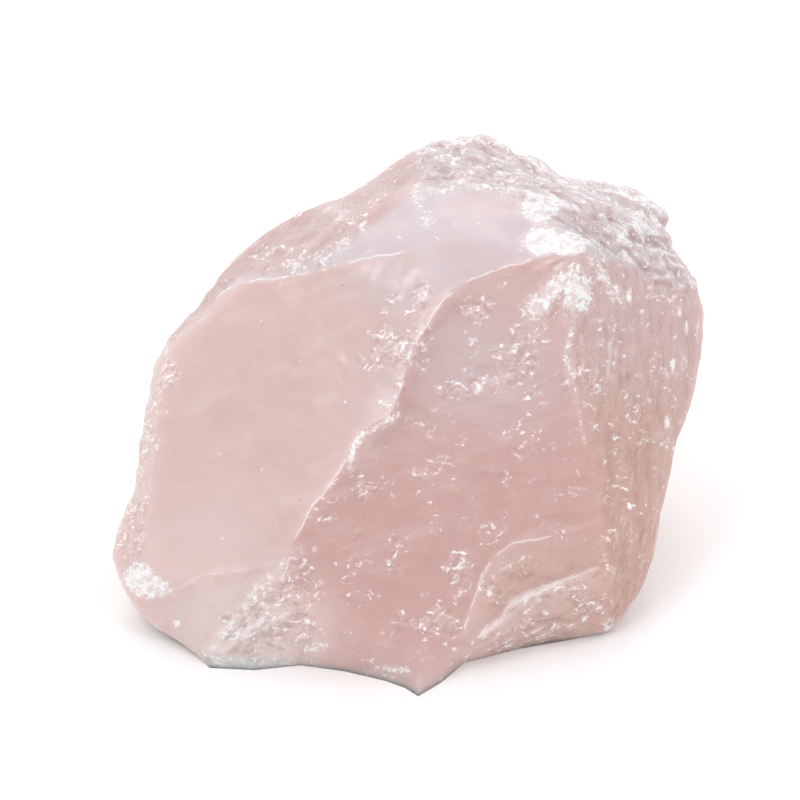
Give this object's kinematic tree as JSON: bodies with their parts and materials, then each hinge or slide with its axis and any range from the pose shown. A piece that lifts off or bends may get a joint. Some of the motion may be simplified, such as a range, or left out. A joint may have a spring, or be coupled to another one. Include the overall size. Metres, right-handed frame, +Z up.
{
  "type": "rose quartz chunk",
  "caption": "Rough chunk of rose quartz with two broad fracture faces meeting along a stepped arched edge, resting on a flat break.",
  "frame": {"origin": "middle of the bounding box, on the plane of the resting face", "axes": "+Z up from the resting face; +X along the longest side, to the right of someone facing the broad fracture faces; -Y towards that person"},
  "size_m": [0.0812, 0.0624, 0.0537],
  "materials": {
    "rose_quartz": "translucent pale pink quartz with glossy fracture faces, white frosted chips and cloudy veils"
  },
  "bodies": {
    "root": {"rose_quartz_chunk": "rose_quartz"}
  },
  "joints": []
}
